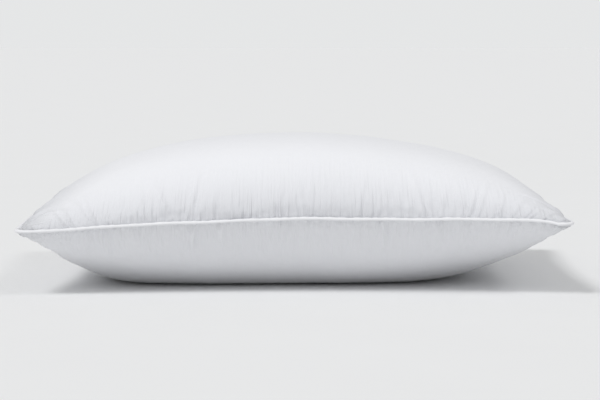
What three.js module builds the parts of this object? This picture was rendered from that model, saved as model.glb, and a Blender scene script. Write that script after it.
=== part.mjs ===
// Bed pillow, 20 x 26 inch size, lying filled on a flat surface.
//
// Two cotton panels are sewn together over a corded edge, turned right side out and filled with
// down. The raw edges lie inside as a seam allowance, the piping stands outside the seam, and the
// gap left for filling is closed by hand on the back.
//
// Millimetres, +Z up. +X runs along the long side and -Y is the front. The origin is the middle
// of the flat patch that the pillow rests on.

import * as THREE from 'three';
import { LoftGeometry } from 'three/addons/geometries/LoftGeometry.js';
import { mergeGeometries, mergeVertices } from 'three/addons/utils/BufferGeometryUtils.js';

// ---- driving dimensions ----

const LENGTH = 640; // long side of the seam line, corner to corner
const DEPTH = 492; // short side of the seam line, corner to corner
const LONG_SEAM_BOW = 22; // how far the fill draws in the middle of a long seam
const SHORT_SEAM_BOW = 14; // how far it draws in the middle of a short seam
const CORNER_RADIUS = 18; // the seam line turns each corner on this radius
const SEAM_HEIGHT = 88; // seam above the resting face, at the middle of a side
const CROWN_RISE = 89; // top of the crown above that seam
const BELLY_DEPTH = 112; // depth the lower panel would sag to with nothing under it
const LEFT_CORNER_DROP = 16; // the left corners hang this far below the seam height
const RIGHT_CORNER_DROP = 5.5; // the right corners hang less

const CLOTH = 0.4; // panel cloth
const BIAS_CLOTH = 0.4; // strip folded round the piping cord
const CORD_DIAMETER = 1.8;
const SEAM_ALLOWANCE = 9; // panel edge turned in at the seam line
const FLANGE_WIDTH = SEAM_ALLOWANCE; // piping flange, trimmed even with the panels' raw edges
const THREAD = 0.3; // laid height of every thread
const STITCH_INSET = 4.6; // lockstitch inside the seam line
const STITCH_WIDTH = 0.4;
const OVERLOCK_WIDTH = 3; // cover of the overlock on each side of the raw edges
const FILL_INSET = 12; // the down packs up to this distance from the seam line
const CLOSING_LENGTH = 170; // hand stitch on the back that closes the filling gap
const CLOSING_THREAD = 0.45;
const LABEL_WIDTH = 32;
const LABEL_DROP = 45;
const LABEL_THICKNESS = 0.5;
const LABEL_PLACE = 130; // label's middle, to the right of the back seam's middle
const GAP = 0.3; // clearance between pieces that touch

// How full the panels stand: height is (1 - u^power)^roundness, u being 0 in the middle and 1 at the seam.
const CROWN_ALONG = { power: 2.2, roundness: 0.68 };
const CROWN_ACROSS = { power: 2.2, roundness: 0.6 };
const BELLY_ALONG = { power: 3.4, roundness: 0.6 };
const BELLY_ACROSS = { power: 2.2, roundness: 0.7 };
const LEFT_DROP_POWER = 1.2; // the left half of the seam sinks almost evenly towards its corners
const RIGHT_DROP_POWER = 12; // the right half sinks only close to them

// ---- mesh fineness ----

const LONG_STEPS = 14;
const SHORT_STEPS = 10;
const CORNER_STEPS = 3;
const SEAM_RING_INSETS = [0, 4, FILL_INSET]; // rings that follow the seam line
const FIELD_RING_SHARES = [0.07, 0.16, 0.27, 0.4, 0.6, 0.8]; // rings from there towards the middle
const PIPING_STEPS = 8;
const CORD_SIDES = 8;
const CLOSING_STEPS = 8;
const MERGE_DISTANCE = 1e-4; // points this near are one point

// ---- derived from the sizes above ----

const HALF_LENGTH = LENGTH / 2;
const HALF_DEPTH = DEPTH / 2;
const FLANGE_INSIDE = GAP / 2; // the two flange plies lie this far from the seam's mid-plane
const FLANGE_OUTSIDE = FLANGE_INSIDE + BIAS_CLOTH;
const ALLOWANCE_INSIDE = FLANGE_OUTSIDE + GAP;
const ALLOWANCE_OUTSIDE = ALLOWANCE_INSIDE + CLOTH;
const THREAD_INSIDE = ALLOWANCE_OUTSIDE + GAP;
const THREAD_OUTSIDE = THREAD_INSIDE + THREAD;
const CORD_RADIUS = CORD_DIAMETER / 2;
const PIPING_BORE = CORD_RADIUS + GAP;
const PIPING_RADIUS = PIPING_BORE + BIAS_CLOTH;
const PIPING_NECK = GAP / 2; // the round of the piping starts this far outside the seam line
const PIPING_OUT = PIPING_NECK + Math.sqrt(PIPING_RADIUS ** 2 - FLANGE_OUTSIDE ** 2);

// ---- materials ----

function cloth(color, roughness) {
  return new THREE.MeshStandardMaterial({ color, roughness, metalness: 0 });
}

const panelCotton = cloth(0xf1f1f4, 0.82);
const pipingCotton = cloth(0xf4f4f6, 0.7);
const cottonCord = cloth(0xece8dc, 0.9);
const down = cloth(0xfaf8f2, 1);
const whiteThread = cloth(0xfbfbfa, 0.55);
const labelTape = cloth(0xf8f8f6, 0.4);

// ---- the seam line ----

// Corner arcs and straight sides of the cut panel, anticlockwise from the front right corner.
function cutOutline() {
  const outline = [];
  const corners = [[1, -1], [1, 1], [-1, 1], [-1, -1]];
  corners.forEach(([sideX, sideY], corner) => {
    const centre = new THREE.Vector2(
      sideX * (HALF_LENGTH - CORNER_RADIUS),
      sideY * (HALF_DEPTH - CORNER_RADIUS),
    );
    const arcStart = (corner - 1) * Math.PI / 2;
    for (let step = 0; step <= CORNER_STEPS; step++) {
      const angle = arcStart + step / CORNER_STEPS * Math.PI / 2;
      outline.push(new THREE.Vector2(CORNER_RADIUS, 0).rotateAround(new THREE.Vector2(), angle).add(centre));
    }
    const sideSteps = corner % 2 === 0 ? SHORT_STEPS : LONG_STEPS;
    const sideLength = (corner % 2 === 0 ? DEPTH : LENGTH) - 2 * CORNER_RADIUS;
    const along = new THREE.Vector2(0, 1).rotateAround(new THREE.Vector2(), arcStart + Math.PI / 2);
    const start = outline.at(-1).clone();
    for (let step = 1; step < sideSteps; step++) {
      outline.push(start.clone().addScaledVector(along, sideLength * step / sideSteps));
    }
  });
  return outline;
}

// Filling draws every side in, most at its middle.
function drawnIn(cut) {
  const u = cut.x / HALF_LENGTH;
  const v = cut.y / HALF_DEPTH;
  return new THREE.Vector2(
    u * (HALF_LENGTH - SHORT_SEAM_BOW * (1 - v * v)),
    v * (HALF_DEPTH - LONG_SEAM_BOW * (1 - u * u)),
  );
}

// The same map backwards: where a place in plan lies on the cloth, -1 to 1 each way.
function clothPlace(x, y) {
  let u = x / HALF_LENGTH;
  let v = y / HALF_DEPTH;
  for (let round = 0; round < 8; round++) {
    u = x / (HALF_LENGTH - SHORT_SEAM_BOW * (1 - v * v));
    v = y / (HALF_DEPTH - LONG_SEAM_BOW * (1 - u * u));
  }
  return { u, v };
}

// The drop is complete where a corner's arc starts, so that each corner lies level.
function seamLevel(x, y) {
  const { u, v } = clothPlace(x, y);
  const along = Math.min(1, Math.abs(u) * HALF_LENGTH / (HALF_LENGTH - CORNER_RADIUS));
  const across = Math.min(1, Math.abs(v) * HALF_DEPTH / (HALF_DEPTH - CORNER_RADIUS));
  const drop = u < 0
    ? LEFT_CORNER_DROP * along ** LEFT_DROP_POWER
    : RIGHT_CORNER_DROP * along ** RIGHT_DROP_POWER;
  return SEAM_HEIGHT - drop * across ** 2;
}

// Each station of the seam line knows its place and the way out of the pillow, lengthened at a
// corner so that whatever follows the seam keeps its width there.
function seamStations() {
  const line = cutOutline().map(drawnIn);
  return line.map((place, index) => {
    const before = place.clone().sub(line.at(index - 1)).normalize();
    const after = line[(index + 1) % line.length].clone().sub(place).normalize();
    const along = before.clone().add(after).normalize();
    const mitre = 1 / along.dot(after);
    return {
      x: place.x,
      y: place.y,
      z: seamLevel(place.x, place.y),
      outX: along.y * mitre,
      outY: -along.x * mitre,
    };
  });
}

const SEAM = seamStations();

// A point beside the seam line: so far out of the pillow, and so far up.
function beside(station, out, up) {
  return new THREE.Vector3(station.x + station.outX * out, station.y + station.outY * out, station.z + up);
}

function ringBeside(out, up) {
  return SEAM.map((station) => beside(station, out, up));
}

// ---- the panels' outside faces ----

function fullness(t, shape) {
  return Math.max(0, 1 - Math.abs(t) ** shape.power) ** shape.roundness;
}

function crownShare(x, y) {
  const { u, v } = clothPlace(x, y);
  return fullness(u, CROWN_ALONG) * fullness(v, CROWN_ACROSS);
}

function bellyShare(x, y) {
  const { u, v } = clothPlace(x, y);
  return fullness(u, BELLY_ALONG) * fullness(v, BELLY_ACROSS);
}

function upperFace(x, y, share) {
  return seamLevel(x, y) + ALLOWANCE_OUTSIDE + (CROWN_RISE - ALLOWANCE_OUTSIDE) * share;
}

// The surface underneath stops the lower panel at zero, which makes the flat resting patch.
function lowerFace(x, y, share) {
  const free = seamLevel(x, y) - ALLOWANCE_OUTSIDE - (BELLY_DEPTH - ALLOWANCE_OUTSIDE) * share;
  return Math.max(0, free);
}

const UPPER = { side: 1, share: crownShare, face: upperFace };
const LOWER = { side: -1, share: bellyShare, face: lowerFace };

// Rings of points from the seam line to the middle of a panel. On the seam line itself the share
// is taken as nothing, also round the corner arcs.
function faceRings(panel) {
  const near = SEAM_RING_INSETS.map((inset) => SEAM.map((station) => {
    const place = beside(station, -inset, 0);
    const atSeam = panel.share(station.x, station.y) * (1 - inset / FILL_INSET);
    const share = Math.max(0, panel.share(place.x, place.y) - atSeam);
    return place.setZ(panel.face(place.x, place.y, share));
  }));
  const field = FIELD_RING_SHARES.map((towardsMiddle) => near.at(-1).map((edge) => {
    const x = edge.x * (1 - towardsMiddle);
    const y = edge.y * (1 - towardsMiddle);
    return new THREE.Vector3(x, y, panel.face(x, y, panel.share(x, y)));
  }));
  return [...near, ...field];
}

function middlePoint(panel, depth) {
  return new THREE.Vector3(0, 0, panel.face(0, 0, panel.share(0, 0)) - panel.side * depth);
}

// A ring whose points all lie on the middle closes a panel there.
function middleRing(panel, depth) {
  return SEAM.map(() => middlePoint(panel, depth));
}

// The rings moved into the pillow, square to the cloth.
function ringsInside(panel, rings, depth) {
  return rings.map((ring, ringIndex) => ring.map((point, index) => {
    const outer = (rings[ringIndex - 1] ?? ring)[index];
    const inner = rings[ringIndex + 1]?.[index] ?? middlePoint(panel, 0);
    const around = ring[(index + 1) % ring.length].clone().sub(ring.at(index - 1));
    const square = around.cross(inner.clone().sub(outer)).normalize();
    return point.clone().addScaledVector(square, -panel.side * depth);
  }));
}

// ---- making solids ----

// A sheet through rings of points, each ring going once round the pillow. Turned over, it faces
// the other way, and its triangles still lie as those of the sheet above it.
function sheet(rings, turnedOver = false) {
  const loft = new LoftGeometry(rings);
  const faces = Array.from(loft.index.array);
  const plain = new THREE.BufferGeometry();
  plain.setAttribute('position', loft.attributes.position);
  plain.setIndex(turnedOver ? faces.reverse() : faces);
  return plain;
}

// The sheets as one closed body: shared vertices, no collapsed triangles, faces out.
function closedBody(sheets) {
  const body = mergeVertices(mergeGeometries(sheets), MERGE_DISTANCE);
  const place = new THREE.Vector3();
  const corner = (vertex) => place.clone().fromBufferAttribute(body.attributes.position, vertex);
  const faces = [];
  let volume = 0;
  for (let first = 0; first < body.index.count; first += 3) {
    const [a, b, c] = [0, 1, 2].map((offset) => body.index.getX(first + offset));
    if (a !== b && b !== c && c !== a) {
      faces.push([a, b, c]);
      volume += corner(a).dot(corner(b).cross(corner(c)));
    }
  }
  const outward = volume > 0 ? faces : faces.map((face) => face.reverse());
  body.setIndex(outward.flat());
  body.computeVertexNormals();
  return body;
}

function piece(name, geometry, material) {
  const mesh = new THREE.Mesh(geometry, material);
  mesh.name = name;
  return mesh;
}

// A piece of one section, run all the way round the seam line. Section points are [out, up].
function roundTheSeam(name, section, material) {
  const rings = section.map(([out, up]) => ringBeside(out, up));
  return piece(name, closedBody([sheet([...rings, rings[0]])]), material);
}

// ---- the pieces ----

// A panel is its outside face, the edge turned in at the seam line, and its inside face. The
// inside face starts where the cloth that rises from the seam clears the turned-in edge.
function panel(name, kind) {
  const outside = faceRings(kind);
  const inside = ringsInside(kind, outside, CLOTH);
  const fold = SEAM.map((station, index) => {
    const run = SEAM_RING_INSETS[1];
    const rise = Math.abs(outside[1][index].z - outside[0][index].z);
    const inset = CLOTH * Math.hypot(run, rise) / rise;
    return beside(station, -inset, kind.side * ALLOWANCE_OUTSIDE);
  });
  const turnedIn = [
    outside[0],
    ringBeside(0, kind.side * ALLOWANCE_INSIDE),
    ringBeside(-SEAM_ALLOWANCE, kind.side * ALLOWANCE_INSIDE),
    ringBeside(-SEAM_ALLOWANCE, kind.side * ALLOWANCE_OUTSIDE),
    fold,
    inside[1],
  ];
  return piece(name, closedBody([
    sheet([middleRing(kind, 0), ...outside.toReversed()]),
    sheet(turnedIn),
    sheet([middleRing(kind, CLOTH), ...inside.slice(1).toReversed()], true),
  ]), panelCotton);
}

// The down fills both panels up to their turned-in edges.
function downFill() {
  const depth = CLOTH + GAP;
  const first = SEAM_RING_INSETS.indexOf(FILL_INSET);
  const [top, bottom] = [UPPER, LOWER].map((kind) => ringsInside(kind, faceRings(kind), depth).slice(first));
  return piece('down_fill', closedBody([
    sheet([middleRing(UPPER, depth), ...top.toReversed()]),
    sheet([top[0], bottom[0]]),
    sheet([middleRing(LOWER, depth), ...bottom.toReversed()], true),
  ]), down);
}

// Points of an arc of the piping's section, from its neck over the top and back below. The
// angle that the neck takes up is that of a flange ply this far from the mid-plane.
function pipingArc(radius, neckHeight) {
  const neck = Math.asin(neckHeight / radius);
  return Array.from({ length: PIPING_STEPS + 1 }, (_, step) => {
    const angle = neck + (2 * Math.PI - 2 * neck) * step / PIPING_STEPS;
    return [PIPING_OUT - radius * Math.cos(angle), radius * Math.sin(angle)];
  });
}

function pipingCover() {
  return roundTheSeam('piping_cover', [
    [-FLANGE_WIDTH, FLANGE_OUTSIDE],
    ...pipingArc(PIPING_RADIUS, FLANGE_OUTSIDE),
    [-FLANGE_WIDTH, -FLANGE_OUTSIDE],
    [-FLANGE_WIDTH, -FLANGE_INSIDE],
    ...pipingArc(PIPING_BORE, FLANGE_INSIDE).toReversed(),
    [-FLANGE_WIDTH, FLANGE_INSIDE],
  ], pipingCotton);
}

function pipingCord() {
  const section = Array.from({ length: CORD_SIDES }, (_, side) => {
    const angle = 2 * Math.PI * side / CORD_SIDES;
    return [PIPING_OUT + CORD_RADIUS * Math.cos(angle), CORD_RADIUS * Math.sin(angle)];
  });
  return roundTheSeam('piping_cord', section, cottonCord);
}

// One thread of the lockstitch, on the far side of a panel's turned-in edge.
function lockstitchThread(name, side) {
  const far = -STITCH_INSET - STITCH_WIDTH;
  return roundTheSeam(name, [
    [-STITCH_INSET, side * THREAD_INSIDE],
    [-STITCH_INSET, side * THREAD_OUTSIDE],
    [far, side * THREAD_OUTSIDE],
    [far, side * THREAD_INSIDE],
  ], whiteThread);
}

// The overlock wraps the raw edges of both panels and of the piping flange, which lie even.
function overlockThread() {
  const start = -SEAM_ALLOWANCE + OVERLOCK_WIDTH;
  const web = -SEAM_ALLOWANCE - GAP;
  return roundTheSeam('overlock_thread', [
    [start, THREAD_OUTSIDE],
    [start, THREAD_INSIDE],
    [web, THREAD_INSIDE],
    [web, -THREAD_INSIDE],
    [start, -THREAD_INSIDE],
    [start, -THREAD_OUTSIDE],
    [web - THREAD, -THREAD_OUTSIDE],
    [web - THREAD, THREAD_OUTSIDE],
  ], whiteThread);
}

// The back seam at a place along it, between the two stations there.
function backSeamAt(x) {
  const back = SEAM.filter((station) => station.y > 0);
  const index = back.findIndex((station, place) => place > 0 && station.x <= x && back[place - 1].x > x);
  const [from, to] = [back[index - 1], back[index]];
  const share = (from.x - x) / (from.x - to.x);
  const between = (key) => THREE.MathUtils.lerp(from[key], to[key], share);
  return { x, y: between('y'), z: between('z'), outX: between('outX'), outY: between('outY') };
}

// The hand stitch lies in the groove between the upper panel and the piping.
function closingStitch() {
  const half = CLOSING_THREAD / 2;
  const out = GAP + half;
  const reach = PIPING_RADIUS + GAP + half * Math.SQRT2;
  const up = Math.sqrt(reach ** 2 - (PIPING_OUT - out) ** 2);
  const places = Array.from({ length: CLOSING_STEPS + 1 }, (_, step) => {
    const x = CLOSING_LENGTH * (step / CLOSING_STEPS - 0.5);
    return beside(backSeamAt(x), out, up);
  });
  const section = new THREE.Shape([
    new THREE.Vector2(-half, -half),
    new THREE.Vector2(half, -half),
    new THREE.Vector2(half, half),
    new THREE.Vector2(-half, half),
  ]);
  const thread = new THREE.ExtrudeGeometry(section, {
    steps: CLOSING_STEPS,
    extrudePath: new THREE.CatmullRomCurve3(places),
  });
  return piece('closing_stitch', thread, whiteThread);
}

// The label hangs straight down from under the piping.
function careLabel() {
  const seam = backSeamAt(LABEL_PLACE);
  const top = beside(seam, PIPING_OUT, -PIPING_RADIUS - GAP);
  const label = piece('care_label', new THREE.BoxGeometry(LABEL_WIDTH, LABEL_THICKNESS, LABEL_DROP), labelTape);
  label.position.set(top.x, top.y, top.z - LABEL_DROP / 2);
  label.rotation.z = Math.atan2(seam.outY, seam.outX) - Math.PI / 2;
  return label;
}

const pillow = new THREE.Group();
pillow.name = 'bed_pillow';
pillow.add(
  panel('upper_panel', UPPER),
  panel('lower_panel', LOWER),
  downFill(),
  pipingCover(),
  pipingCord(),
  lockstitchThread('needle_thread', 1),
  lockstitchThread('bobbin_thread', -1),
  overlockThread(),
  closingStitch(),
  careLabel(),
);

export default pillow;
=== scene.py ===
# %% [markdown]
# # A down pillow with a corded edge
#
# The real thing is two rectangles of down-proof cotton, sewn together over a fine corded edging,
# turned right side out, filled and closed by hand. The cover keeps the size that it was cut to, so
# when the down pushes it up, the edge has too much cloth and gathers. This lesson follows the same
# order: cut the flat pattern, sew the edge, fill it, and then add the edging, threads and label.

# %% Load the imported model
import math

import bpy
import numpy as np
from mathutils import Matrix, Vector


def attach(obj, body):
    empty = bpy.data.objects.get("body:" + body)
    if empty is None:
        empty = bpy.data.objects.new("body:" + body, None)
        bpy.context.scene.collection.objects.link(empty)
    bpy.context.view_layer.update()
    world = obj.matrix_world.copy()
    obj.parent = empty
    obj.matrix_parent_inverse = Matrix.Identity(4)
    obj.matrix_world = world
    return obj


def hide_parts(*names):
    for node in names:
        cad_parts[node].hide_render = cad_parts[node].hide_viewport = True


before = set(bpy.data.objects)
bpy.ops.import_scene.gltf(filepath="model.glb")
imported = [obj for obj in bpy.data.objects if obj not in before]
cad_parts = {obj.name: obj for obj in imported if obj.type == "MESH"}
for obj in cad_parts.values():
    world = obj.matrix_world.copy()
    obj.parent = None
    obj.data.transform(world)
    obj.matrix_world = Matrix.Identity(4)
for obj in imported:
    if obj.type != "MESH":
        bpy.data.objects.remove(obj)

MM = 0.001
bpy.context.view_layer.update()

# %% [markdown]
# ## The camera
#
# The pillow lies with its long side towards us. A long lens from a little above the floor shows it
# almost side on, with the top of the crown just in view. The camera is aimed with a direction
# vector that is turned into an angle, which is how a Track To constraint would aim it.

# %% Place the camera
VIEW_DISTANCE = 2.6
VIEW_ELEVATION = math.radians(4.5)
VIEW_TARGET = Vector((0.0065, 0.0, 0.0945))
VIEW_LENS = 123.7


def place_camera(target, distance, elevation, lens):
    back = Vector((0, -math.cos(elevation), math.sin(elevation)))
    data = bpy.data.cameras.new("camera")
    data.lens = lens
    data.clip_end = 200
    camera = bpy.data.objects.new("camera", data)
    bpy.context.scene.collection.objects.link(camera)
    camera.location = target + back * distance
    camera.rotation_euler = (-back).to_track_quat("-Z", "Y").to_euler()
    bpy.context.scene.camera = camera
    return camera


camera = place_camera(VIEW_TARGET, VIEW_DISTANCE, VIEW_ELEVATION, VIEW_LENS)
print("camera at", [round(value, 3) for value in camera.location])

# %% [markdown]
# ## The seam line
#
# Everything on a pillow hangs on its seam. Each side is drawn in by the filling, most at its
# middle, and the corners sink a little, the left ones in a long slope and the right ones only at
# their tips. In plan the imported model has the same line, and it lies a little lower. The sizes are
# written down once here, in metres, and each later piece asks these helpers where the seam is.

# %% The seam line
HALF_LENGTH = 320 * MM
HALF_DEPTH = 246 * MM
SHORT_SEAM_BOW = 14 * MM
LONG_SEAM_BOW = 22 * MM
CORNER_RADIUS = 18 * MM
SEAM_HEIGHT = 90.5 * MM
LEFT_CORNER_DROP = 13 * MM
LEFT_DROP_POWER = 1.3
RIGHT_CORNER_DROP = 3.6 * MM
RIGHT_DROP_POWER = 24

# Small waves of the seam line: height in millimetres, length of one radian, and start.
WAVES_ALONG = ((0.35, 31 * MM, 1), (0.25, 13 * MM, 0))
WAVES_ACROSS = ((0.3, 27 * MM, 2),)


def rounded(x, y, half_length, half_depth, radius):
    """A rectangle's places moved so that its corners turn on a radius."""
    a = np.clip((np.abs(x) - half_length + radius) / radius, 0, 1)
    b = np.clip((np.abs(y) - half_depth + radius) / radius, 0, 1)
    round_x = np.sign(x) * (half_length - radius + radius * a * np.sqrt(1 - b * b / 2))
    round_y = np.sign(y) * (half_depth - radius + radius * b * np.sqrt(1 - a * a / 2))
    return np.where(a * b > 0, round_x, x), np.where(a * b > 0, round_y, y)


def drawn_in(x, y):
    """Where a place on the cut cloth ends up in plan once the pillow is filled."""
    u = x / HALF_LENGTH
    v = y / HALF_DEPTH
    along = u * (HALF_LENGTH - SHORT_SEAM_BOW * (1 - v * v))
    across = v * (HALF_DEPTH - LONG_SEAM_BOW * (1 - u * u))
    return along, across


def waves(places, sizes):
    return sum(height * np.sin(places / length + start) for height, length, start in sizes)


def seam_level(x, y):
    """Height of the seam for a place on the cut cloth. It wavers by less than a millimetre."""
    along = np.minimum(1, np.abs(x) / (HALF_LENGTH - CORNER_RADIUS))
    across = np.minimum(1, np.abs(y) / (HALF_DEPTH - CORNER_RADIUS))
    left_drop = LEFT_CORNER_DROP * along ** LEFT_DROP_POWER
    right_drop = RIGHT_CORNER_DROP * along ** RIGHT_DROP_POWER
    drop = np.where(x < 0, left_drop, right_drop)
    waver = waves(x, WAVES_ALONG) + waves(y, WAVES_ACROSS)
    return SEAM_HEIGHT - drop * across ** 2 + waver * MM


print("seam corner at", np.round(drawn_in(HALF_LENGTH, HALF_DEPTH), 4))

# %% [markdown]
# ## The cover, sewn and filled
#
# A filled cover could be sculpted, but its gathers come from cloth that has nowhere to go, and
# Blender's Cloth finds those by itself. Both panels are one closed grid that shares its edge
# points. It starts a little too big all over. The edge is pinned, and a shape key draws it in to
# the true seam line, while a vertex group shrinks the middle of each panel back to its own size.
# So the spare cloth stays where a sewer finds it, along the seam. The air inside keeps the volume
# that the down takes up.
#
# The rows of the grid lie closer together towards the long seams, where the gathers need them. The
# place of each point on the flat cut comes from how far it lies along the cloth, over the crown,
# and not from its place in plan, so a length on the cut map is nearly a true length of cloth.

# %% Lay out both panels
CUT_LENGTH = 660 * MM
CUT_DEPTH = 508 * MM
CELLS_ALONG = 228
CELLS_ACROSS = 84
CROWN_RISE = 86.5 * MM
BELLY_DEPTH = 110 * MM
FLOOR_CLEARANCE = 1 * MM

# How full the pillow is: the power and the roundness of each curve from the middle to an edge.
CROWN_TO_LEFT = (2.4, 0.75)
CROWN_TO_RIGHT = (1.95, 0.575)
CROWN_ACROSS = (3.0, 0.5)
BELLY_TO_LEFT = (4.3, 0.60)
BELLY_TO_RIGHT = (2.15, 0.46)
BELLY_ACROSS = (2.1, 0.76)

u, v = np.meshgrid(
    np.linspace(-1, 1, CELLS_ALONG + 1),
    np.sin(np.linspace(-1, 1, CELLS_ACROSS + 1) * math.pi / 2),
    indexing="ij",
)
edge_x, edge_y = rounded(u * HALF_LENGTH, v * HALF_DEPTH, HALF_LENGTH, HALF_DEPTH, CORNER_RADIUS)
plan_x, plan_y = drawn_in(edge_x, edge_y)
level = seam_level(edge_x, edge_y)


def fullness(t, power, roundness):
    """One in the middle, where t is 0, and nothing at the edges, where it is 1 or -1."""
    return np.clip(1 - np.abs(t) ** power, 0, 1) ** roundness


crown_along = np.where(u < 0, fullness(u, *CROWN_TO_LEFT), fullness(u, *CROWN_TO_RIGHT))
belly_along = np.where(u < 0, fullness(u, *BELLY_TO_LEFT), fullness(u, *BELLY_TO_RIGHT))
top_z = level + CROWN_RISE * crown_along * fullness(v, *CROWN_ACROSS)
free_z = level - BELLY_DEPTH * belly_along * fullness(v, *BELLY_ACROSS)
bottom_z = np.maximum(free_z, FLOOR_CLEARANCE)
on_seam = np.ones(u.shape, bool)
on_seam[1:-1, 1:-1] = False
TOP = np.arange(u.size).reshape(u.shape)
BOTTOM = TOP.copy()
BOTTOM[~on_seam] = u.size + np.arange((~on_seam).sum())
true_shape = np.concatenate([
    np.stack([plan_x, plan_y, top_z], -1).reshape(-1, 3),
    np.stack([plan_x, plan_y, bottom_z], -1)[~on_seam],
])


def walked(line):
    """How far along a line each of its points lies, from minus one to one."""
    steps = np.linalg.norm(np.diff(line, axis=0), axis=1)
    share = np.concatenate([[0], np.cumsum(steps)])
    return 2 * share / share[-1] - 1


over_top = true_shape[TOP]
along_cut = walked(over_top[:, CELLS_ACROSS // 2])[:, None] + 0 * v
across_cut = walked(over_top[CELLS_ALONG // 2])[None, :] + 0 * u
cut_x, cut_y = rounded(
    along_cut * CUT_LENGTH / 2, across_cut * CUT_DEPTH / 2, CUT_LENGTH / 2, CUT_DEPTH / 2, CORNER_RADIUS
)


def grid_faces(index, turned=False):
    """The four-sided faces between the points of a grid, turned over if asked."""
    corners = [index[:-1, :-1], index[1:, :-1], index[1:, 1:], index[:-1, 1:]]
    quads = np.stack(corners, -1).reshape(-1, 4)
    return quads[:, ::-1] if turned else quads


cover_faces = np.concatenate([grid_faces(TOP), grid_faces(BOTTOM, turned=True)])
print("cover grid:", len(true_shape), "points,", len(cover_faces), "faces")

# %% Helpers for meshes
def new_mesh(name, vertices, faces):
    mesh = bpy.data.meshes.new(name)
    mesh.from_pydata(np.asarray(vertices).tolist(), [], np.asarray(faces).tolist())
    mesh.update()
    made = bpy.data.objects.new(name, mesh)
    bpy.context.scene.collection.objects.link(made)
    return made


def only(made):
    """Select one object and make it active, as an operator expects."""
    bpy.ops.object.select_all(action="DESELECT")
    made.select_set(True)
    bpy.context.view_layer.objects.active = made


def vertex_places(mesh):
    flat = np.empty(len(mesh.vertices) * 3)
    mesh.vertices.foreach_get("co", flat)
    return flat.reshape(-1, 3)


def volume_inside(vertices, quads):
    first = vertices[quads[:, 0]]
    rest = vertices[quads[:, 1:]]
    both = np.cross(rest[:, 0], rest[:, 1]) + np.cross(rest[:, 1], rest[:, 2])
    return (first * both).sum() / 6


print("the true shape holds", round(volume_inside(true_shape, cover_faces) / MM, 1), "litres")

# %% Weigh the cloth: spare at the seam, none in the middle
SPARE_CLOTH = 0.055
GATHER_DEPTH = 60 * MM
LOWER_SPARE = 0.7
WEIGHT_STEPS = 100

from_seam = np.minimum(CUT_LENGTH / 2 - np.abs(cut_x), CUT_DEPTH / 2 - np.abs(cut_y))
spare = np.clip(1 - from_seam / GATHER_DEPTH, 0, 1)
shrinks = np.empty(len(true_shape))
shrinks[BOTTOM.ravel()] = 1 - LOWER_SPARE * spare.ravel()
shrinks[TOP.ravel()] = 1 - spare.ravel()


def weigh(made, name, weights):
    """Gives a mesh a vertex group, with its weights rounded to a hundred steps."""
    group = made.vertex_groups.new(name=name)
    steps = np.round(weights * WEIGHT_STEPS).astype(int)
    for step in np.unique(steps):
        group.add(np.nonzero(steps == step)[0].tolist(), step / WEIGHT_STEPS, "REPLACE")


print("spare cloth up to", round(GATHER_DEPTH / MM), "mm from the seam")

# %% Sew and fill the cover
SEWING_FRAMES = 10
FILLING_FRAMES = 26
START_ROUGHNESS = 0.3 * MM
PLUMPNESS = 1.03
rng = np.random.default_rng(26)


def laid_out_cover():
    rough = rng.normal(0, START_ROUGHNESS, true_shape.shape)
    rough[TOP[on_seam]] = 0
    start = true_shape * (1 + SPARE_CLOTH) + rough
    start[:, 2] = np.maximum(start[:, 2], FLOOR_CLEARANCE)
    cover = new_mesh("cover", start, cover_faces)
    cover.shape_key_add(name="cut")
    sewn = cover.shape_key_add(name="sewn")
    start[TOP[on_seam]] = true_shape[TOP[on_seam]]
    sewn.data.foreach_set("co", start.ravel())
    for frame_number, value in ((1, 0), (SEWING_FRAMES, 1)):
        sewn.value = value
        sewn.keyframe_insert("value", frame=frame_number)
    weigh(cover, "seam", np.isin(np.arange(len(true_shape)), TOP[on_seam]).astype(float))
    weigh(cover, "shrinks", shrinks)
    return cover


def set_cloth(cover):
    modifier = cover.modifiers.new("cloth", "CLOTH")
    cotton = modifier.settings
    cotton.quality = 5
    cotton.mass = 0.1
    cotton.tension_stiffness = cotton.compression_stiffness = 25
    cotton.shear_stiffness = 7.5
    cotton.bending_stiffness = 0.03
    cotton.tension_damping = cotton.compression_damping = cotton.shear_damping = 5
    cotton.bending_damping = 0.5
    cotton.vertex_group_mass = "seam"
    cotton.vertex_group_shrink = "shrinks"
    cotton.shrink_max = SPARE_CLOTH / (1 + SPARE_CLOTH)
    cotton.use_pressure = cotton.use_pressure_volume = True
    cotton.uniform_pressure_force = 0
    cotton.target_volume = volume_inside(true_shape, cover_faces) * PLUMPNESS
    cotton.pressure_factor = 300
    cotton.effector_weights.gravity = 0.05
    modifier.collision_settings.distance_min = FLOOR_CLEARANCE
    modifier.point_cache.frame_end = FILLING_FRAMES


def fill(cover):
    bpy.ops.mesh.primitive_plane_add(size=4, location=(0, 0, 0))
    ground = bpy.context.object
    ground.modifiers.new("collision", "COLLISION")
    ground.collision.thickness_outer = FLOOR_CLEARANCE
    ground.collision.cloth_friction = 5
    bpy.context.scene.frame_end = FILLING_FRAMES
    for step in range(1, FILLING_FRAMES + 1):
        bpy.context.scene.frame_set(step)
    filled = vertex_places(cover.evaluated_get(bpy.context.evaluated_depsgraph_get()).data)
    bpy.context.scene.frame_set(1)
    bpy.data.objects.remove(ground)
    bpy.data.objects.remove(cover)
    return filled


cover = laid_out_cover()
set_cloth(cover)
filled = fill(cover)
print("filled:", np.round(filled.min(0), 4), np.round(filled.max(0), 4))
print("volume", round(volume_inside(filled, cover_faces) / MM, 1), "litres")

# %% [markdown]
# ## Settled down
#
# Left alone, the cloth still quivers a little when the last frame is read, and it sways as a whole
# while the seam is drawn in. What is wanted of it are the folds. So the sway, which is the slow
# part of its distance from the true shape, is taken out again, and the taut crown is averaged with
# its neighbours, while the seam's gathers stay. Of the folds a share is kept, so that the outline
# follows the true shape.

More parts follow.
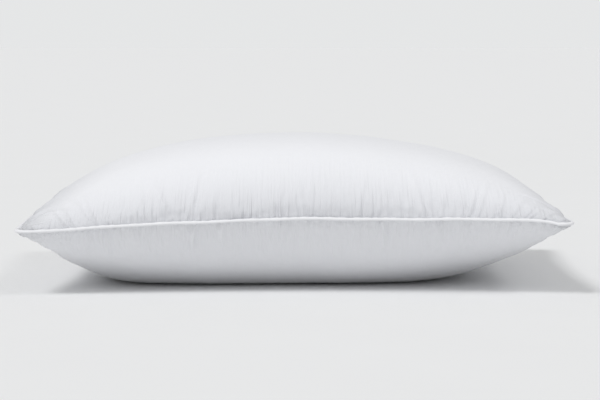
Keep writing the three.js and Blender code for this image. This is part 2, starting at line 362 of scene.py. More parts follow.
# %% Settle the cover
SWAY_ROUNDS = 260
FOLD_SHARE = 0.6
SETTLING_ROUNDS = 30
SETTLING_SHARE = 0.9
TAUT_FROM = 22 * MM
TAUT_RISE = 70 * MM
TAUT_POWER = 1.5


def averaged(grid, share):
    """A grid whose inner points have moved by a share towards the middle of their neighbours."""
    around = (grid[:-2, 1:-1] + grid[2:, 1:-1] + grid[1:-1, :-2] + grid[1:-1, 2:]) / 4
    moved = grid.copy()
    moved[1:-1, 1:-1] += (around - grid[1:-1, 1:-1]) * share[1:-1, 1:-1, None]
    return moved


taut = np.clip((from_seam - TAUT_FROM) / TAUT_RISE, 0, 1) ** TAUT_POWER
for index in (TOP, BOTTOM):
    grid = filled[index]
    for _ in range(SETTLING_ROUNDS):
        grid = averaged(grid, taut * SETTLING_SHARE)
    sway = grid - true_shape[index]
    for _ in range(SWAY_ROUNDS):
        sway = averaged(sway, np.ones(sway.shape[:2]))
    filled[index] = true_shape[index] + FOLD_SHARE * (grid - sway - true_shape[index])
below = np.arange(len(filled)) >= u.size
filled[:, 2] = np.maximum(filled[:, 2] - FLOOR_CLEARANCE * below, 0)
print("settled:", np.round(filled.min(0), 4), np.round(filled.max(0), 4))

# %% [markdown]
# ## The two panels
#
# The filled grid is cut apart into the two pieces that a sewer would hold. Each gets a UV map in
# metres of the flat cut, because the weave and the gathers follow the cloth and not the room. One
# Subdivision Surface level, applied, makes the cloth fine enough for small folds.

# %% Cut the panels apart and refine them
def finished(made):
    """Applies every modifier of an object."""
    only(made)
    for modifier in list(made.modifiers):
        bpy.ops.object.modifier_apply(modifier=modifier.name)
    return made


def corner_vertices(mesh):
    corners = np.empty(len(mesh.loops), int)
    mesh.loops.foreach_get("vertex_index", corners)
    return corners


def map_cut(made, places):
    """Gives a mesh a UV map named cut, in metres."""
    layer = made.data.uv_layers.new(name="cut")
    layer.data.foreach_set("uv", places[corner_vertices(made.data)].ravel())


def cut_places(mesh):
    uv = np.empty(len(mesh.loops) * 2)
    mesh.uv_layers["cut"].data.foreach_get("uv", uv)
    places = np.empty((len(mesh.vertices), 2))
    places[corner_vertices(mesh)] = uv.reshape(-1, 2)
    return places


def panel(name, index, turned):
    local = np.arange(index.size).reshape(index.shape)
    made = new_mesh(name, filled[index.ravel()], grid_faces(local, turned))
    map_cut(made, np.stack([cut_x.ravel(), cut_y.ravel()], -1))
    refine = made.modifiers.new("refine", "SUBSURF")
    refine.levels = refine.render_levels = 1
    refine.uv_smooth = "NONE"
    return finished(made)


upper = panel("upper_panel_cloth", TOP, False)
lower = panel("lower_panel_cloth", BOTTOM, True)
print("upper panel:", len(upper.data.polygons), "faces")

# %% [markdown]
# ## Gathers at the seam
#
# A sewing machine feeds the long edge of the cloth in small, uneven tucks. Each tuck is a low
# ridge that starts under the edging, widens, leans a little and dies out in the cloth. A bump
# wouldn't show along the outline, so they are moved in the mesh: every ridge is a bell curve
# across its own line, with a shallow trough on either side, added up and pushed out along the
# normals. Only the pleats finer than these are left to a bump, in the cotton's finish.

# %% Gather one side of a panel
WEAKEST = 0.6
STRONG_GAIN = 0.6
LEAN_SPREAD = 0.10
CURL_SPREAD = 0.35
CURL_LENGTH = 300 * MM
CORNER_LEAN = 0.55
CORNER_LEAN_FROM = 0.35
CORNER_LEAN_OVER = 0.6
RIDGE_START = 3 * MM
RIDGE_WIDENING = 0.9
RIDGE_FADE = 1.2
TROUGH_SHARE = 0.45
TROUGH_WIDTH = 2.1
SEARCH_WIDTH = 14 * MM
SEARCH_SLOPE = 0.2


def smooth(t):
    t = np.clip(t, 0, 1)
    return t * t * (3 - 2 * t)


def tucks(length, spacing, reach, height, width):
    """Places, lengths, heights, widths, leans and curls of the tucks along one side."""
    place = rng.uniform(0, spacing[0])
    made = []
    while place < length:
        strong = rng.uniform() ** 2
        made.append((
            place,
            reach[0] + (reach[1] - reach[0]) * strong,
            rng.uniform(*height) * (WEAKEST + STRONG_GAIN * strong),
            rng.uniform(*width),
            rng.normal(0, LEAN_SPREAD),
            rng.normal(0, CURL_SPREAD),
        ))
        place += rng.uniform(*spacing)
    return made


def gathered(along, inward, length, sizes):
    """Height of the gathers for places given along a side and inward from it."""
    total = np.zeros(len(along))
    for place, reach, height, width, lean, curl in tucks(length, *sizes):
        end = 2 * place / length - 1
        fan = smooth((abs(end) - CORNER_LEAN_FROM) / CORNER_LEAN_OVER)
        slant = lean + CORNER_LEAN * np.sign(end) * fan
        beside_it = np.abs(along - place - slant * inward) < SEARCH_WIDTH + SEARCH_SLOPE * reach
        near = np.nonzero((inward < reach) & beside_it)[0]
        down = inward[near]
        share = down / reach
        across = along[near] - place - slant * down - curl * down * down / CURL_LENGTH
        spread = width * (1 + RIDGE_WIDENING * share)
        ridge = np.exp(-0.5 * (across / spread) ** 2)
        trough = TROUGH_SHARE * np.exp(-0.5 * (across / (TROUGH_WIDTH * spread)) ** 2)
        risen = smooth(down / RIDGE_START) * (1 - share) ** RIDGE_FADE
        total[near] += height * (ridge - trough) * risen
    return total


print("gathers can be drawn")

# %% Gather both panels
# Spacing, reach, height and width of the tucks, each from least to most.
LONG_TUCKS = ((6 * MM, 11.5 * MM), (24 * MM, 92 * MM), (1.9 * MM, 3.7 * MM), (1.4 * MM, 2.1 * MM))
SMALL_TUCKS = ((4 * MM, 7.5 * MM), (8 * MM, 28 * MM), (0.9 * MM, 1.8 * MM), (1.1 * MM, 1.5 * MM))
UPPER_STRENGTH = 1.3
LOWER_STRENGTH = 1.5


def gather(made, strength):
    mesh = made.data
    places = cut_places(mesh)
    normals = np.empty(len(mesh.vertices) * 3)
    mesh.vertices.foreach_get("normal", normals)
    half = np.array([CUT_LENGTH, CUT_DEPTH]) / 2
    total = np.zeros(len(places))
    for axis in (0, 1):
        for end in (-1, 1):
            along = places[:, axis] + half[axis]
            inward = half[1 - axis] - end * places[:, 1 - axis]
            for sizes in (LONG_TUCKS, SMALL_TUCKS):
                total += gathered(along, inward, 2 * half[axis], sizes)
    moved = vertex_places(mesh) + strength * total[:, None] * normals.reshape(-1, 3)
    moved[:, 2] = np.maximum(moved[:, 2], 0)
    mesh.vertices.foreach_set("co", moved.ravel())
    mesh.update()
    return total


for made, strength in ((upper, UPPER_STRENGTH), (lower, LOWER_STRENGTH)):
    heights = gather(made, strength)
    print(made.name, "gathers up to", round(heights.max() / MM, 2), "mm")

# %% [markdown]
# ## The edge turned in
#
# Behind the seam each panel runs on for nine millimetres as its seam allowance. Nobody sees it in
# use, but it is what the edging is sewn between, so each panel's outline is carried on inward.

# %% Walk round the seam
ARC_STEPS = 12
SEAM_STEP = 2 * MM


def seam_walk(step):
    """Places on the seam line, a step apart, and the level direction out of the pillow at each."""
    corner_x = HALF_LENGTH - CORNER_RADIUS
    corner_y = HALF_DEPTH - CORNER_RADIUS
    outline = []
    for turn, (side_x, side_y) in enumerate([(1, -1), (1, 1), (-1, 1), (-1, -1)]):
        start = (turn - 1) * math.pi / 2
        for angle in np.linspace(start, start + math.pi / 2, ARC_STEPS + 1):
            outline.append((
                side_x * corner_x + CORNER_RADIUS * math.cos(angle),
                side_y * corner_y + CORNER_RADIUS * math.sin(angle),
            ))
        run = 2 * (corner_y if turn % 2 == 0 else corner_x)
        heading = start + math.pi
        last_x, last_y = outline[-1]
        count = round(run / step)
        for walked_on in run * np.arange(1, count) / count:
            outline.append((
                last_x + walked_on * math.cos(heading),
                last_y + walked_on * math.sin(heading),
            ))
    cut = np.array(outline)
    x, y = drawn_in(cut[:, 0], cut[:, 1])
    place = np.stack([x, y, seam_level(cut[:, 0], cut[:, 1])], -1)
    ahead = np.roll(place, -1, 0) - np.roll(place, 1, 0)
    out = np.stack([ahead[:, 1], -ahead[:, 0], 0 * x], -1)
    return place, out / np.linalg.norm(out, axis=1, keepdims=True)


seam, seam_out = seam_walk(SEAM_STEP)
UP = np.array([0, 0, 1.0])
seam_length = np.linalg.norm(np.roll(seam, -1, 0) - seam, axis=1).sum()
print("seam line:", len(seam), "places,", round(seam_length, 3), "m long")

# %% Carry each panel on inward as its seam allowance
SEAM_ALLOWANCE = 9 * MM
ALLOWANCE_LEVEL = 1.05 * MM


def turn_in(made, side):
    """Extrudes the outline inward, a little above or below the edging's flange."""
    only(made)
    bpy.ops.object.mode_set(mode="EDIT")
    bpy.ops.mesh.select_all(action="DESELECT")
    bpy.ops.mesh.select_mode(type="EDGE")
    bpy.ops.mesh.select_non_manifold(extend=False)
    bpy.ops.mesh.extrude_edges_move()
    bpy.ops.object.mode_set(mode="OBJECT")
    places = vertex_places(made.data)
    picked = np.empty(len(places), bool)
    made.data.vertices.foreach_get("select", picked)
    for index in np.nonzero(picked)[0]:
        nearest = np.argmin(((seam[:, :2] - places[index, :2]) ** 2).sum(1))
        places[index] += -seam_out[nearest] * SEAM_ALLOWANCE + UP * side * ALLOWANCE_LEVEL
    made.data.vertices.foreach_set("co", places.ravel())
    made.data.update()
    return picked.sum()


for made, side in ((upper, 1), (lower, -1)):
    print(made.name, "allowance:", turn_in(made, side), "places")
    made.data.shade_smooth()

# %% [markdown]
# ## The corded edging
#
# Piping is a strip of the same cotton, cut on the slant so that it bends round corners, folded over
# a thin cord and sewn into the seam by its two flanges. One section is swept along the seam: out
# along the upper flange, round the cord and back along the lower one, then the same way back on
# the inside. On the slant the cloth ripples over the cord, so it swells and shrinks a little.

# %% Sweep a section along a closed line
def swept(name, line, out, section):
    """A closed tube: section holds the [out, up] points of the tube's outline at each place."""
    rings = line[:, None] + out[:, None] * section[..., :1] + UP * section[..., 1:]
    count, sides = rings.shape[:2]
    index = np.arange(count * sides).reshape(count, sides)
    index = np.concatenate([index, index[:1]])
    index = np.concatenate([index, index[:, :1]], 1)
    made = new_mesh(name, rings.reshape(-1, 3), grid_faces(index, turned=True))
    made.data.shade_smooth()
    return made


PIPING_RADIUS = 2.0 * MM
BIAS_CLOTH = 0.4 * MM
PIPING_OUT = 2.1 * MM
FLANGE_LEVEL = 0.55 * MM
FLANGE_INSIDE = 0.15 * MM
WRAP_STEPS = 14

# Shares of the radius by which the cover swells, and the lengths of one radian of each wave.
RIPPLE = 0.09
RIPPLE_LENGTH = 2.1 * MM
RIPPLE_DRIFT = 17 * MM
SWELL = 0.06
SWELL_LENGTH = 5.3 * MM
UNEVENNESS = 0.02


def piping_sections(count):
    """The section of the cover at each place, first outside and then back inside."""
    walk = np.arange(count) * seam_length / count
    ripple = RIPPLE * np.sin(walk / RIPPLE_LENGTH + 2 * np.sin(walk / RIPPLE_DRIFT))
    swell = ripple + SWELL * np.sin(walk / SWELL_LENGTH) + UNEVENNESS * rng.normal(size=count)
    outside = (PIPING_RADIUS, FLANGE_LEVEL, 1, swell[:, None])
    inside = (PIPING_RADIUS - BIAS_CLOTH, FLANGE_INSIDE, -1, np.zeros((count, 1)))
    outline = []
    for radius, level, turn, swollen in (outside, inside):
        neck = math.asin(level / radius)
        angles = np.linspace(neck, 2 * math.pi - neck, WRAP_STEPS + 1)[::turn]
        bulge = radius * (1 + swollen)
        wrap = np.stack([PIPING_OUT - bulge * np.cos(angles), bulge * np.sin(angles)], -1)
        flange = np.array([[-SEAM_ALLOWANCE, level * turn], [-SEAM_ALLOWANCE, -level * turn]])
        flange = np.broadcast_to(flange, (count, 2, 2))
        outline += [flange[:, :1], wrap, flange[:, 1:]]
    return np.concatenate(outline, 1)


sections = piping_sections(len(seam))
piping = swept("piping_bias_cover", seam, seam_out, sections)
print("piping:", len(piping.data.polygons), "faces")

# %% Twist the cord from three strands
STRAND_RADIUS = 0.42 * MM
STRAND_OFFSET = 0.47 * MM
STRANDS = 3
STRAND_SIDES = 6
TWIST_LENGTH = 7 * MM


def twisted_cord():
    twists = round(seam_length / TWIST_LENGTH)
    turn = np.linspace(0, 2 * math.pi * twists, len(seam), endpoint=False)
    around = np.linspace(0, 2 * math.pi, STRAND_SIDES, endpoint=False)
    strands = []
    for strand in range(STRANDS):
        phase = turn + 2 * math.pi * strand / STRANDS
        section = np.stack([
            PIPING_OUT + STRAND_OFFSET * np.cos(phase)[:, None] + STRAND_RADIUS * np.cos(around),
            STRAND_OFFSET * np.sin(phase)[:, None] + STRAND_RADIUS * np.sin(around),
        ], -1)
        strands.append(swept("strand", seam, seam_out, section))
    only(strands[0])
    for strand in strands:
        strand.select_set(True)
    bpy.ops.object.join()
    strands[0].name = strands[0].data.name = "twisted_filler_cord"
    return strands[0]


cord = twisted_cord()
print("cord:", len(cord.data.polygons), "faces in", STRANDS, "strands")

# %% [markdown]
# ## Threads
#
# A lockstitch is two threads that meet in the middle of the cloth, so each side shows a row of
# short bars. The overlock wraps the raw edges in slanted loops. Each stitch is a short curve with
# a round bevel, which is the easiest way to draw thread: all stitches go into one curve object,
# which is then made a mesh.

# %% Draw threads as one bevelled curve
def threads(name, paths, radius):
    bpy.ops.object.select_all(action="DESELECT")
    bpy.ops.curve.primitive_nurbs_path_add(location=(0, 0, 0))
    made = bpy.context.object
    made.name = made.data.name = name
    made.data.splines.clear()
    for path in paths:
        spline = made.data.splines.new("POLY")
        spline.points.add(len(path) - 1)
        weighted = np.concatenate([path, np.ones((len(path), 1))], 1)
        spline.points.foreach_set("co", weighted.ravel())
    made.data.bevel_depth = radius
    made.data.bevel_resolution = 0
    made.data.use_fill_caps = True
    bpy.ops.object.convert(target="MESH")
    made = bpy.context.object
    made.name = made.data.name = name
    made.data.shade_smooth()
    return made


def beside(walk, out, up):
    """Places beside the seam line: walk is the distance along it from the first place."""
    distance = np.concatenate([[0], np.cumsum(np.linalg.norm(np.diff(seam, axis=0), axis=1))])
    walk = np.asarray(walk) % distance[-1]
    at = np.stack([np.interp(walk, distance, seam[:, axis]) for axis in range(3)], -1)
    outward = np.stack([np.interp(walk, distance, seam_out[:, axis]) for axis in range(3)], -1)
    return at + outward * np.asarray(out)[..., None] + UP * np.asarray(up)[..., None]


STITCH_PITCH = 2.8 * MM
STITCH_LENGTH = 2.3 * MM
STITCH_INSET = 4.8 * MM
THREAD_LEVEL = 1.45 * MM
LOCKSTITCH_THREAD = 0.14 * MM


def lockstitches(side):
    rise = np.array([-0.25, 0.08, 0.08, -0.25]) * MM
    reach = np.array([0, 0.25, 0.75, 1]) * STITCH_LENGTH
    inset = np.full(len(reach), -STITCH_INSET)
    starts = np.arange(round(seam_length / STITCH_PITCH)) * STITCH_PITCH
    return [beside(start + reach, inset, side * (THREAD_LEVEL + rise)) for start in starts]


needle = threads("needle_lockstitches", lockstitches(1), LOCKSTITCH_THREAD)
bobbin = threads("bobbin_lockstitches", lockstitches(-1), LOCKSTITCH_THREAD)
print("lockstitches:", len(needle.data.polygons), "faces a side")

# %% Bind the raw edges with the overlock
LOOP_PITCH = 3.2 * MM
OVERLOCK_THREAD = 0.15 * MM


def overlock_loops():
    out = np.array([-6, -7.6, -9.35, -9.75, -9.35, -7.6, -6, -7.5]) * MM
    up = np.array([1.5, 1.5, 1.45, 0, -1.45, -1.5, -1.5, -1.5]) * MM
    step = np.array([0, 0.1, 0.2, 0.35, 0.5, 0.6, 0.7, 0.8]) * LOOP_PITCH
    starts = np.arange(round(seam_length / LOOP_PITCH)) * LOOP_PITCH
    return [beside(start + step, out, up) for start in starts]


overlock = threads("overlock_loops", overlock_loops(), OVERLOCK_THREAD)
print("overlock:", len(overlock.data.polygons), "faces")

# %% Close the filling gap by hand, on the back
CLOSING_LENGTH = 170 * MM
CLOSING_PITCH = 3.1 * MM
CLOSING_REACH = 1.9 * MM
CLOSING_UNEVENNESS = 0.15 * MM
CLOSING_THREAD = 0.16 * MM


def back_middle_walk():
    back = np.nonzero((np.abs(seam[:, 0]) < 2 * MM) & (seam[:, 1] > 0))[0][0]
    return np.linalg.norm(np.diff(seam[:back + 1], axis=0), axis=1).sum()


def closing_stitches():
    out = np.array([1.0, 0.45, -0.1, -0.65]) * MM
    up = np.array([1.72, 1.6, 1.75, 2.5]) * MM
    step = np.array([0, 0.3, 0.7, 1.0]) * CLOSING_REACH
    starts = back_middle_walk() + np.arange(-CLOSING_LENGTH / 2, CLOSING_LENGTH / 2, CLOSING_PITCH)
    return [beside(start + step + rng.normal(0, CLOSING_UNEVENNESS), out, up) for start in starts]


closing = threads("closing_hand_stitches", closing_stitches(), CLOSING_THREAD)
print("closing stitches:", len(closing.data.polygons), "faces")

# %% [markdown]
# ## The care label
#
# A satin tape, folded double and caught in the seam under the edging, hangs at the back. It is
# left blank. One thin grid follows the tape down, round the fold and up again, and curls a little.

# %% Hang the label
LABEL_WIDTH = 32 * MM
LABEL_DROP = 45 * MM
LABEL_PLACE = 130 * MM
LABEL_GAP = 0.3 * MM
FOLD_RADIUS = 0.45 * MM
TAPE_THICKNESS = 0.18 * MM
LABEL_SWING = 2.6 * MM
LABEL_WAVE = 0.7 * MM
LABEL_WAVE_LENGTH = 9 * MM
STRAIGHT_STEPS = 24
BEND_STEPS = 7
WIDTH_STEPS = 13


def label_tape():
    nearest = np.nonzero(seam[:, 1] > 0)[0]
    nearest = nearest[np.argmin(np.abs(seam[nearest, 0] - LABEL_PLACE))]
    away = seam_out[nearest]
    top = seam[nearest] + away * PIPING_OUT - UP * (PIPING_RADIUS + LABEL_GAP)
    sideways = np.cross(UP, away)
    straight = np.linspace(0, LABEL_DROP - FOLD_RADIUS, STRAIGHT_STEPS)
    angles = np.linspace(0, math.pi, BEND_STEPS)[1:-1]
    bend_down = LABEL_DROP - FOLD_RADIUS + FOLD_RADIUS * np.sin(angles)
    bend_out = FOLD_RADIUS * np.cos(angles)
    down = np.concatenate([straight, bend_down, straight[::-1]])
    thick = np.concatenate([0 * straight + FOLD_RADIUS, bend_out, 0 * straight - FOLD_RADIUS])
    across = np.linspace(-0.5, 0.5, WIDTH_STEPS) * LABEL_WIDTH
    down, across = np.meshgrid(down, across, indexing="ij")
    swing = LABEL_SWING * (down / LABEL_DROP) ** 2
    wave = LABEL_WAVE * np.sin(across / LABEL_WAVE_LENGTH) * down / LABEL_DROP
    outward = thick[:, None] + swing + wave
    places = top + sideways * across[..., None] + away * outward[..., None] - UP * down[..., None]
    faces = grid_faces(np.arange(down.size).reshape(down.shape))
    made = new_mesh("blank_care_label", places.reshape(-1, 3), faces)
    middle = places[:, WIDTH_STEPS // 2]
    walk = np.concatenate([[0], np.cumsum(np.linalg.norm(np.diff(middle, axis=0), axis=1))])
    map_cut(made, np.stack([across, np.broadcast_to(walk[:, None], across.shape)], -1).reshape(-1, 2))
    thickness = made.modifiers.new("thickness", "SOLIDIFY")
    thickness.thickness = TAPE_THICKNESS
    thickness.offset = 0
    finished(made)
    made.data.shade_smooth()
    return made


label = label_tape()
print("label:", len(label.data.polygons), "faces")

# %% [markdown]
# ## The down
#
# Down has no edges of its own: it takes the cover's shape, a few millimetres inside it. The filled
# grid is thinned, drawn in along its normals and given the soft lumps that clusters make.

# %% Pack the down
FILL_GAP = 3.2 * MM
FILL_STEP = 2
LUMP_HEIGHT = 0.5 * MM
LUMP_LENGTH = 6 * MM
LUMP_WIDTH = 7 * MM
LUMP_DEPTH = 9 * MM


def thinned(count):
    """Every second place of a row, without the two at its ends."""
    return np.unique(np.append(np.arange(0, count, FILL_STEP), count - 1))[1:-1]


def down_mass():
    keep = np.ix_(thinned(TOP.shape[0]), thinned(TOP.shape[1]))
    size = keep[0].size * keep[1].size
    top = np.arange(size).reshape(keep[0].size, keep[1].size)
    sheets = [filled[TOP[keep]].reshape(-1, 3), filled[BOTTOM[keep]].reshape(-1, 3)]
    rim = np.concatenate([top[0], top[1:, -1], top[-1, -2::-1], top[-2:0:-1, 0]])
    rim = np.append(rim, rim[0])
    band = grid_faces(np.stack([rim, rim + size], -1))
    faces = np.concatenate([grid_faces(top), grid_faces(top + size, turned=True), band])
    made = new_mesh("down_filling", np.concatenate(sheets), faces)
    only(made)
    bpy.ops.object.mode_set(mode="EDIT")
    bpy.ops.mesh.select_all(action="SELECT")
    bpy.ops.mesh.normals_make_consistent(inside=False)
    bpy.ops.object.mode_set(mode="OBJECT")
    normals = np.empty(len(made.data.vertices) * 3)
    made.data.vertices.foreach_get("normal", normals)
    places = vertex_places(made.data)
    x, y, z = places.T
    lumps = 0.5 + 0.5 * np.sin(x / LUMP_LENGTH) * np.sin(y / LUMP_WIDTH + z / LUMP_DEPTH)
    places -= normals.reshape(-1, 3) * (FILL_GAP + LUMP_HEIGHT * lumps)[:, None]
    made.data.vertices.foreach_set("co", places.ravel())
    made.data.update()
    made.data.shade_smooth()
    return made


down = down_mass()
print("down:", len(down.data.polygons), "faces")

# %% [markdown]
# ## Writing finishes as sums
#
# A node tree is easier to read as an expression. `Amount` wraps a socket that carries one number,
# and its operators add Math nodes. `Finish` makes a material and any other node in it.

# %% A small language for finishes
class Amount:
    """A number that changes over a surface."""

    def __init__(self, finish, socket):
        self.finish = finish
        self.socket = socket

    def _with(self, operation, first, second=None):
        values = {0: first} if second is None else {0: first, 1: second}
        made = self.finish.node("Math", {"operation": operation}, values)
        return self.finish.amount(made, 0)

    def __add__(self, other):
        return self._with("ADD", self, other)

    def __radd__(self, other):
        return self._with("ADD", other, self)

    def __sub__(self, other):
        return self._with("SUBTRACT", self, other)

    def __rsub__(self, other):
        return self._with("SUBTRACT", other, self)

    def __mul__(self, other):
        return self._with("MULTIPLY", self, other)

    def __rmul__(self, other):
        return self._with("MULTIPLY", other, self)

    def sine(self):
        return self._with("SINE", self)

    def size(self):
        return self._with("ABSOLUTE", self)

    def most(self, other):
        return self._with("MAXIMUM", self, other)


class Finish:
    """A material with a Principled shader, and a short way to add nodes."""

    def __init__(self, name, **constants):
        self.material = bpy.data.materials.new(name)
        self.material.use_nodes = True
        self.nodes = self.material.node_tree.nodes
        self.links = self.material.node_tree.links
        self.shader = self.nodes["Principled BSDF"]
        for socket, value in constants.items():
            self.set(self.shader, socket.replace("_", " "), value)

    def set(self, made, socket, value):
        if isinstance(value, Amount):
            value = value.socket
        if isinstance(value, bpy.types.NodeSocket):
            self.links.new(value, made.inputs[socket])
        else:
            made.inputs[socket].default_value = value

    def node(self, kind, settings=None, values=None):
        made = self.nodes.new("ShaderNode" + kind)
        for setting, value in (settings or {}).items():
            setattr(made, setting, value)
        for socket, value in (values or {}).items():
            self.set(made, socket, value)
        return made

    def amount(self, made, output="Fac"):
        return Amount(self, made.outputs[output])

    def places(self):
        """Object coordinates, in metres."""
        return self.node("TexCoord").outputs["Object"]

    def cut(self):
        """Places on the flat cloth, in metres."""
        return self.node("UVMap", {"uv_map": "cut"}).outputs["UV"]

    def apart(self, vector):
        made = self.node("SeparateXYZ", values={"Vector": vector})
        return [self.amount(made, axis) for axis in "XYZ"]

    def noise(self, vector, scale, detail, stretch=(1, 1, 1)):
        scaled = self.node("Mapping", values={"Vector": vector, "Scale": stretch}).outputs[0]
        made = self.node("TexNoise", values={"Vector": scaled, "Scale": scale, "Detail": detail})
        return self.amount(made)

    def blend(self, share, first, second):
        made = self.node("Mix", {"data_type": "RGBA"}, {0: share})
        self.set(made, 6, first)
        self.set(made, 7, second)
        return made.outputs[2]

    def bump(self, height, distance, strength):
        made = self.node("Bump", values={"Height": height, "Distance": distance, "Strength": strength})
        self.set(self.shader, "Normal", made.outputs[0])

    def on(self, *pieces):
        for made in pieces:
            made.data.materials.clear()
            made.data.materials.append(self.material)


print("finishes can be written")

# %% [markdown]
# ## Down-proof cotton
#
# Down would creep out of an ordinary sheet, so this cotton is packed tight with fine threads and
# pressed smooth. It is a cool, bluish white with a soft sheen. The weave runs with the cut, a
# little over a quarter of a millimetre to a thread, with a few thicker threads, and the cloth is a
# little uneven where it has been handled.
#
# Near the seam the cloth is packed in gathers. Pleats finer than the mesh are a bump there, and
# the colour is darkened with a painted shade, which stands in for the shade that the pleats cast on
# each other, with a darker painted shadow line right along the seam. The lower panel lies in the
# pillow's own shade and gets less of this painted shade, so the two panels are copies of the same
# white with a different share of it. The edging shows the same weave, turned by half a right angle.

# %% Weave the cotton
THREAD_PITCH = 0.28 * MM
TURN = 2 * math.pi
# How far in from the seam the pleat bump and the painted shade reach, then the reach and share of a
# painted shadow line at the seam, and the colour of the painted shade.
PLEAT_AND_PAINTED_SHADE_REACH = 125 * MM
PAINTED_SEAM_LINE_DEPTH = 5 * MM
PAINTED_SEAM_LINE_SHARE = 0.22
PAINTED_SHADE_COLOUR = (0.42, 0.43, 0.46)
FINE_PLEAT = 3.4 * MM
PLEAT_HEIGHT = 58
PLEAT_RUN = 70 * MM
SLUB_LENGTH = 40 * MM
SLUB_WIDTH = 0.9 * MM
HANDLED_SIZE = 11 * MM
CLOUD_SIZE = 70 * MM
COTTON_BUMP = 0.09 * MM
BUMP_STRENGTH = 0.6


def woven_cotton(name, colour, shade, roughness, vector_of, slant=False, painted_shade_share=0.0):
    finish = Finish(name, Sheen_Weight=0.25, Sheen_Roughness=0.45, Specular_IOR_Level=0.35)
    vector = vector_of(finish)
    if slant:
        turned = finish.node("Mapping", values={"Vector": vector, "Rotation": (0, 0, math.pi / 4)})
        vector = turned.outputs[0]
    along, across, _ = finish.apart(vector)
    weave = (along * (TURN / THREAD_PITCH)).sine() * (across * (TURN / THREAD_PITCH)).sine()
    thick_along = finish.noise(vector, 1.0, 2.0, (1 / SLUB_LENGTH, 1 / SLUB_WIDTH, 1))
    thick_across = finish.noise(vector, 1.0, 2.0, (1 / SLUB_WIDTH, 1 / SLUB_LENGTH, 1))
    handled = finish.noise(vector, 1 / HANDLED_SIZE, 4.0)
    clouds = finish.noise(vector, 1 / CLOUD_SIZE, 3.0)
    tone = handled * 0.35 + clouds * 0.35 + (thick_along + thick_across) * 0.15
    cloth = finish.blend(tone, (*shade, 1), (*colour, 1))
    height = weave * 0.25 + (thick_along + thick_across) * 0.5 + handled * 2.2
    # Painted shade: the colour darkens towards the seams, most in a thin painted shadow line along
    # them.
    if painted_shade_share:
        near_long = (1 - (CUT_DEPTH / 2 - across.size()) * (1 / PLEAT_AND_PAINTED_SHADE_REACH)).most(0)
        near_short = (1 - (CUT_LENGTH / 2 - along.size()) * (1 / PLEAT_AND_PAINTED_SHADE_REACH)).most(0)
        painted_shade_falloff = near_long.most(near_short)
        # A painted shadow line: darkest right at the seam, gone a few millimetres in.
        painted_seam_line_shadow = (1 - (1 - painted_shade_falloff) * (PLEAT_AND_PAINTED_SHADE_REACH / PAINTED_SEAM_LINE_DEPTH)).most(0)
        painted_shade_blend = painted_shade_falloff * painted_shade_falloff * painted_shade_share + painted_seam_line_shadow * PAINTED_SEAM_LINE_SHARE
        cloth = finish.blend(painted_shade_blend, cloth, (*PAINTED_SHADE_COLOUR, 1))
        long_pleats = finish.noise(vector, 1.0, 2.0, (1 / FINE_PLEAT, 1 / PLEAT_RUN, 1))
        short_pleats = finish.noise(vector, 1.0, 2.0, (1 / PLEAT_RUN, 1 / FINE_PLEAT, 1))
        pleats = long_pleats * near_long * near_long + short_pleats * near_short * near_short
        height = height + pleats * PLEAT_HEIGHT
    finish.set(finish.shader, "Base Color", cloth)
    finish.set(finish.shader, "Roughness", roughness - 0.06 + (thick_along + handled) * 0.06)
    finish.bump(height, COTTON_BUMP, BUMP_STRENGTH)
    return finish


# Colour, shade, roughness and where the pattern is laid out.
PANEL_WHITE = ((0.875, 0.880, 0.905), (0.835, 0.842, 0.872), 0.72, Finish.cut)
EDGING_WHITE = ((0.87, 0.872, 0.89), (0.79, 0.795, 0.82), 0.66, Finish.places)
# Two copies of the panel white: the upper one carries more painted shade near the seam than the lower
# one.
woven_cotton("down_proof_cotton_above_more_painted_shade", *PANEL_WHITE, painted_shade_share=0.56).on(upper)
woven_cotton("down_proof_cotton_below_less_painted_shade", *PANEL_WHITE, painted_shade_share=0.14).on(lower)
woven_cotton("bias_cotton", *EDGING_WHITE, slant=True).on(piping)
print("cotton on", [made.name for made in (upper, lower, piping)])

# %% Spin the cord, the threads, the tape and the down
def spun(name, colour, shade, roughness, grain, sheen=0.2):
    finish = Finish(name, Sheen_Weight=sheen)
    fibres = finish.noise(finish.places(), 1 / grain, 4.0)
    finish.set(finish.shader, "Base Color", finish.blend(fibres, (*shade, 1), (*colour, 1)))
    finish.set(finish.shader, "Roughness", roughness - 0.08 + fibres * 0.16)
    finish.bump(fibres, grain / 6, 0.7)
    return finish


soft_cord = spun("soft_cotton_cord", (0.86, 0.83, 0.75), (0.78, 0.74, 0.65), 0.9, 0.5 * MM)
soft_cord.on(cord)
sewing_thread = spun("polished_sewing_thread", (0.90, 0.90, 0.89), (0.82, 0.82, 0.81), 0.5, 0.2 * MM)
sewing_thread.on(needle, bobbin, overlock, closing)
goose_down = spun("goose_down", (0.92, 0.90, 0.86), (0.80, 0.77, 0.71), 0.95, 7 * MM, sheen=0.6)
goose_down.on(down)


RIB_PITCH = 0.35 * MM
RIB_HEIGHT = 0.02 * MM
WORN_SIZE = 6 * MM


def satin_tape():
    finish = Finish("satin_label_tape", Anisotropic=0.4, Sheen_Weight=0.15)
    _, across, _ = finish.apart(finish.cut())
    ribs = (across * (TURN / RIB_PITCH)).sine()
    worn = finish.noise(finish.cut(), 1 / WORN_SIZE, 3.0)
    white = finish.blend(worn, (0.86, 0.86, 0.84, 1), (0.91, 0.91, 0.90, 1))
    finish.set(finish.shader, "Base Color", white)
    finish.set(finish.shader, "Roughness", 0.34 + worn * 0.12)
    finish.bump(ribs + worn * 2, RIB_HEIGHT, BUMP_STRENGTH)
    return finish


satin_tape().on(label)
print("materials:", len(bpy.data.materials))

# %% [markdown]
# ## What each piece is
#
# Each piece is hung from one body empty, and the imported part that it stands for is hidden, so
# that the piece takes its place.

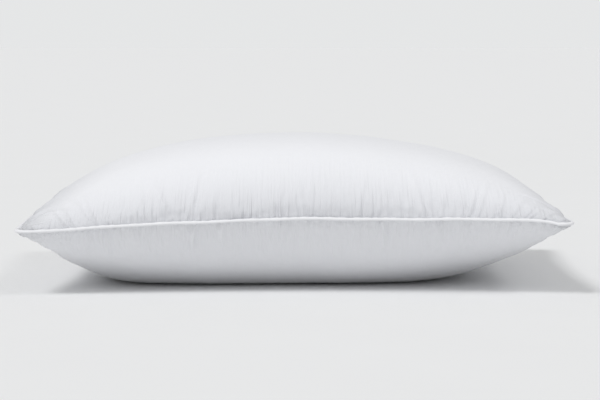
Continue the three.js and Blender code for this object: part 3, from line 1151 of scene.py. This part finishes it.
# %% Hang the pieces and hide the imported parts
REGISTER = (
    (upper, "upper_panel", "panel_cotton"),
    (lower, "lower_panel", "panel_cotton"),
    (piping, "piping_cover", "piping_cotton"),
    (cord, "piping_cord", "cotton_cord"),
    (down, "down_fill", "down"),
    (needle, "needle_thread", "sewing_thread"),
    (bobbin, "bobbin_thread", "sewing_thread"),
    (overlock, "overlock_thread", "sewing_thread"),
    (closing, "closing_stitch", "sewing_thread"),
    (label, "care_label", "label_tape"),
)
for made, node, slot in REGISTER:
    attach(made, "root")
    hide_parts(node)
print("registered", len(REGISTER), "pieces")

# %% [markdown]
# ## Floor and light
#
# A plain pale floor runs back to a backdrop of its own tone, so hardly a line shows where they
# meet. Light comes evenly from all round. A soft key light from the front left gives the crown its
# slope of tone and the floor its shadow, and a weak fill from the front right softens it.

# %% Lay the floor
FLOOR_SIZE = 120
PALE = ((0.825, 0.829, 0.831, 1), (0.837, 0.841, 0.843, 1))

bpy.ops.object.select_all(action="DESELECT")
bpy.ops.mesh.primitive_plane_add(size=FLOOR_SIZE, location=(0, 0, 0))
floor = bpy.context.object
floor.name = "floor"
paint = Finish("pale_floor", Specular_IOR_Level=0.2)
grain = paint.noise(paint.places(), 6.0, 3.0)
paint.set(paint.shader, "Base Color", paint.blend(grain, *PALE))
paint.set(paint.shader, "Roughness", 0.75 + grain * 0.1)
paint.on(floor)
print("floor:", FLOOR_SIZE, "m wide")

# %% Light the room
BACKDROP = (0.787, 0.795, 0.799, 1)
SKY = (0.545, 0.547, 0.550, 1)
KEY_FROM = Vector((-0.37, -0.53, 0.77))
KEY_STRENGTH = 1.40
FILL_FROM = Vector((0.55, -0.36, 0.75))
FILL_STRENGTH = 0.36
SOFTBOX_SPREAD = math.radians(16)


def soft_sky():
    """Even light from all round. The camera itself sees a plain backdrop behind the floor."""
    world = bpy.data.worlds.new("studio")
    bpy.context.scene.world = world
    world.use_nodes = True
    nodes = world.node_tree.nodes
    links = world.node_tree.links
    ray = nodes.new("ShaderNodeLightPath")
    seen = nodes.new("ShaderNodeMix")
    seen.data_type = "RGBA"
    links.new(ray.outputs["Is Camera Ray"], seen.inputs[0])
    seen.inputs[6].default_value = SKY
    seen.inputs[7].default_value = BACKDROP
    links.new(seen.outputs[2], nodes["Background"].inputs["Color"])


def softbox(name, from_where, strength):
    sun = bpy.data.lights.new(name, "SUN")
    sun.energy = strength
    sun.angle = SOFTBOX_SPREAD
    held = bpy.data.objects.new(name, sun)
    bpy.context.scene.collection.objects.link(held)
    held.rotation_euler = (-from_where).to_track_quat("-Z", "Y").to_euler()


soft_sky()
softbox("key", KEY_FROM, KEY_STRENGTH)
softbox("fill", FILL_FROM, FILL_STRENGTH)
bpy.context.scene.view_settings.view_transform = "Standard"
print("lit by", [light.name for light in bpy.data.lights])
